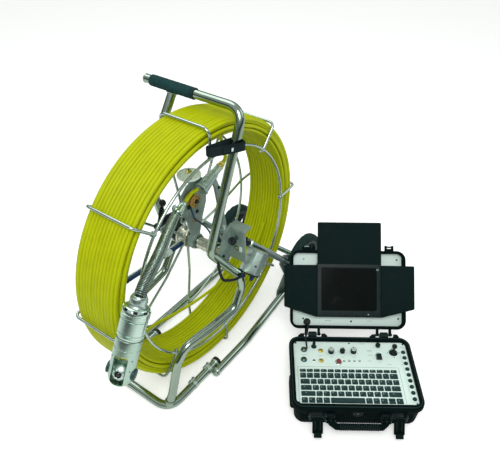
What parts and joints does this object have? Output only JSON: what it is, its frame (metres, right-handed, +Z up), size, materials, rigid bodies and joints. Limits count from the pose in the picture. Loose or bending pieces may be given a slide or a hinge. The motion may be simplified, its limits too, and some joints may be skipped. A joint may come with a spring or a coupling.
{
  "type": "pipe inspection camera",
  "caption": "Push-rod reel in a wire cage on a wheeled tube stand, with a sprung pan-and-tilt camera head and an open control case with a hooded screen and keyboard.",
  "frame": {"origin": "centre of the footprint box, on the floor", "axes": "+Z up, reel axle along Y, stand wheels at +X, control case at -Y"},
  "size_m": [0.9874, 0.9356, 0.8357],
  "materials": {
    "stainless_tube": "bright drawn tube",
    "dark_steel": "bright, darker",
    "hub_steel": "satin",
    "foam_grip": "foam",
    "strap_fabric": "woven",
    "grey_paint": "satin",
    "box_alloy": "satin",
    "black_plastic": "fine grain",
    "case_plastic": "moulded",
    "key_plastic": "satin",
    "roller_bronze": "satin",
    "clear_disc": "translucent white",
    "push_rod": "extruded",
    "cable_jacket": "satin",
    "tyre_rubber": "worn",
    "rim_plastic": "satin",
    "spring_steel": "coiled wire",
    "head_chrome": "polished",
    "lens_glass": "polished",
    "panel_alloy": "brushed",
    "knob_chrome": "polished",
    "red_plastic": "moulded",
    "screen_glass": "polished"
  },
  "bodies": {
    "stand": {"handle_tube": "stainless_tube", "handle_grip": "foam_grip", "far_leg": "stainless_tube", "hub_shaft": "hub_steel", "base_tube": "stainless_tube", "front_strut_near": "stainless_tube", "front_strut_far": "stainless_tube", "tie_strap": "strap_fabric", "bracket_plate": "grey_paint", "junction_box": "box_alloy", "guide_plate": "grey_paint", "guide_funnel": "box_alloy", "guide_arm": "grey_paint"},
    "reel": {"reel_cage": "stainless_tube", "pushrod_coil": "push_rod", "slip_ring": "black_plastic", "lead_cable": "cable_jacket"},
    "guide_roller": {"guide_roller": "roller_bronze"},
    "counter_wheel": {"counter_wheel": "clear_disc"},
    "lock_knob": {"lock_knob": "black_plastic"},
    "brake_lever": {"brake_lever": "black_plastic"},
    "rail_carriage": {"rail_near": "stainless_tube", "rail_far": "stainless_tube", "wheel_axle": "dark_steel", "axle_plate_near": "grey_paint", "axle_plate_far": "grey_paint"},
    "wheel_near": {"tyre_near": "tyre_rubber", "rim_near": "rim_plastic"},
    "wheel_far": {"tyre_far": "tyre_rubber", "rim_far": "rim_plastic"},
    "rear_struts": {"rear_strut_near": "dark_steel", "rear_strut_far": "dark_steel"},
    "camera_line": {"pushrod_tip": "push_rod", "neck_ferrule": "head_chrome", "spring_neck": "spring_steel", "head_gland": "head_chrome", "camera_body": "head_chrome"},
    "pan_fork": {"pan_fork": "head_chrome"},
    "tilt_eye": {"tilt_eye": "head_chrome", "lens_window": "lens_glass"},
    "case": {"case_base": "case_plastic", "control_panel": "panel_alloy"},
    "keyboard": {"keyboard": "key_plastic"},
    "side_buttons": {"side_buttons": "key_plastic"},
    "knob_left": {"knob_left": "knob_chrome"},
    "knob_mid": {"knob_mid": "black_plastic"},
    "knob_right": {"knob_right": "knob_chrome"},
    "red_button": {"red_button": "red_plastic"},
    "power_rocker": {"power_rocker": "black_plastic"},
    "joystick": {"joystick": "black_plastic"},
    "case_handle": {"case_handle": "case_plastic"},
    "latch_left": {"latch_left": "case_plastic"},
    "latch_right": {"latch_right": "case_plastic"},
    "lid": {"case_lid": "case_plastic", "lid_panel": "panel_alloy", "monitor": "black_plastic", "screen": "screen_glass"},
    "hood_top": {"hood_top": "black_plastic"},
    "hood_left": {"hood_left": "black_plastic"},
    "hood_right": {"hood_right": "black_plastic"}
  },
  "joints": [
    {"name": "reel_spin", "type": "hinge", "parent": "stand", "child": "reel", "pos_m": [-0.03328, 0.24382, 0.408], "axis": [0, 1, 0], "continuous": true},
    {"name": "roller_spin", "type": "hinge", "parent": "stand", "child": "guide_roller", "pos_m": [-0.05328, 0.23482, 0.57], "axis": [0, 1, 0], "continuous": true},
    {"name": "counter_spin", "type": "hinge", "parent": "stand", "child": "counter_wheel", "pos_m": [-0.03728, 0.25582, 0.633], "axis": [0, 0, 1], "continuous": true},
    {"name": "lock_knob_turn", "type": "hinge", "parent": "stand", "child": "lock_knob", "pos_m": [-0.00428, 0.12582, 0.458], "axis": [1, 0, 0], "range_deg": [0, 270]},
    {"name": "brake_swing", "type": "hinge", "parent": "stand", "child": "brake_lever", "pos_m": [-0.15328, 0.27382, 0.522], "axis": [0, 1, 0], "range_deg": [-20, 20]},
    {"name": "rail_extend", "type": "slide", "parent": "stand", "child": "rail_carriage", "axis": [1, 0, 0], "range_m": [0, 0.12]},
    {"name": "wheel_near_spin", "type": "hinge", "parent": "rail_carriage", "child": "wheel_near", "pos_m": [0.39472, 0.13082, 0.099], "axis": [0, 1, 0], "continuous": true},
    {"name": "wheel_far_spin", "type": "hinge", "parent": "rail_carriage", "child": "wheel_far", "pos_m": [0.39472, 0.44082, 0.099], "axis": [0, 1, 0], "continuous": true},
    {"name": "rear_strut_fold", "type": "hinge", "parent": "rail_carriage", "child": "rear_struts", "pos_m": [0.28872, 0.27182, 0.158], "axis": [0, 1, 0], "range_deg": [0, 60]},
    {"name": "rod_feed", "type": "slide", "parent": "stand", "child": "camera_line", "axis": [-1, 0, 0], "range_m": [0, 0.006]},
    {"name": "pan_turn", "type": "hinge", "parent": "camera_line", "child": "pan_fork", "pos_m": [-0.37428, 0.11782, 0.536], "axis": [-0.4607, 0, -0.8876], "continuous": true},
    {"name": "eye_tilt", "type": "hinge", "parent": "pan_fork", "child": "tilt_eye", "pos_m": [-0.46577, 0.11782, 0.35973], "axis": [-0.3529, 0.9175, 0.1832], "range_deg": [-60, 60]},
    {"name": "case_place", "type": "slide", "parent": "stand", "child": "case", "axis": [0, -1, 0], "range_m": [0, 0.15]},
    {"name": "keyboard_press", "type": "slide", "parent": "case", "child": "keyboard", "axis": [0, 0, 1], "range_m": [-0.0018, 0], "stiffness_N_per_m": 400},
    {"name": "side_button_press", "type": "slide", "parent": "case", "child": "side_buttons", "axis": [0, 0, 1], "range_m": [-0.0018, 0], "stiffness_N_per_m": 400},
    {"name": "knob_left_turn", "type": "hinge", "parent": "case", "child": "knob_left", "pos_m": [0.0885, -0.16141, 0.0843], "axis": [0, 0, 1], "range_deg": [-150, 150]},
    {"name": "knob_mid_turn", "type": "hinge", "parent": "case", "child": "knob_mid", "pos_m": [0.10911, -0.1891, 0.0843], "axis": [0, 0, 1], "range_deg": [-150, 150]},
    {"name": "knob_right_turn", "type": "hinge", "parent": "case", "child": "knob_right", "pos_m": [0.12902, -0.21666, 0.0843], "axis": [0, 0, 1], "range_deg": [-150, 150]},
    {"name": "red_button_press", "type": "slide", "parent": "case", "child": "red_button", "axis": [0, 0, 1], "range_m": [-0.0018, 0], "stiffness_N_per_m": 400},
    {"name": "power_rock", "type": "hinge", "parent": "case", "child": "power_rocker", "pos_m": [0.15717, -0.28912, 0.0859], "axis": [0.5736, -0.8192, 0], "range_deg": [-16, 0]},
    {"name": "joystick_tilt", "type": "hinge", "parent": "case", "child": "joystick", "pos_m": [0.19637, -0.31721, 0.0883], "axis": [0.5736, -0.8192, 0], "range_deg": [-18, 18], "stiffness_Nm_per_rad": 0.05},
    {"name": "case_handle_swing", "type": "hinge", "parent": "case", "child": "case_handle", "pos_m": [-0.05542, -0.33421, 0.05], "axis": [-0.5736, 0.8192, 0], "range_deg": [0, 70]},
    {"name": "latch_left_swing", "type": "hinge", "parent": "case", "child": "latch_left", "pos_m": [-0.11589, -0.23738, 0.058], "axis": [-0.5736, 0.8192, 0], "range_deg": [0, 135]},
    {"name": "latch_right_swing", "type": "hinge", "parent": "case", "child": "latch_right", "pos_m": [0.01489, -0.42415, 0.058], "axis": [-0.5736, 0.8192, 0], "range_deg": [0, 135]},
    {"name": "lid_swing", "type": "hinge", "parent": "case", "child": "lid", "pos_m": [0.17558, -0.17246, 0.093], "axis": [-0.5736, 0.8192, 0], "range_deg": [-85, 5]},
    {"name": "hood_top_fold", "type": "hinge", "parent": "lid", "child": "hood_top", "pos_m": [0.29661, -0.09137, 0.25924], "axis": [0.5736, -0.8192, 0], "range_deg": [0, 90]},
    {"name": "hood_left_fold", "type": "hinge", "parent": "lid", "child": "hood_left", "pos_m": [0.18938, -0.04438, 0.19162], "axis": [0.5481, 0.3838, 0.7431], "range_deg": [0, 90]},
    {"name": "hood_right_fold", "type": "hinge", "parent": "lid", "child": "hood_right", "pos_m": [0.30409, -0.20822, 0.19162], "axis": [-0.5481, -0.3838, -0.7431], "range_deg": [0, 90]}
  ],
  "couplings": [
    {"joint": "roller_spin", "follows": "reel_spin", "ratio": 18},
    {"joint": "counter_spin", "follows": "reel_spin", "ratio": 9.4}
  ]
}
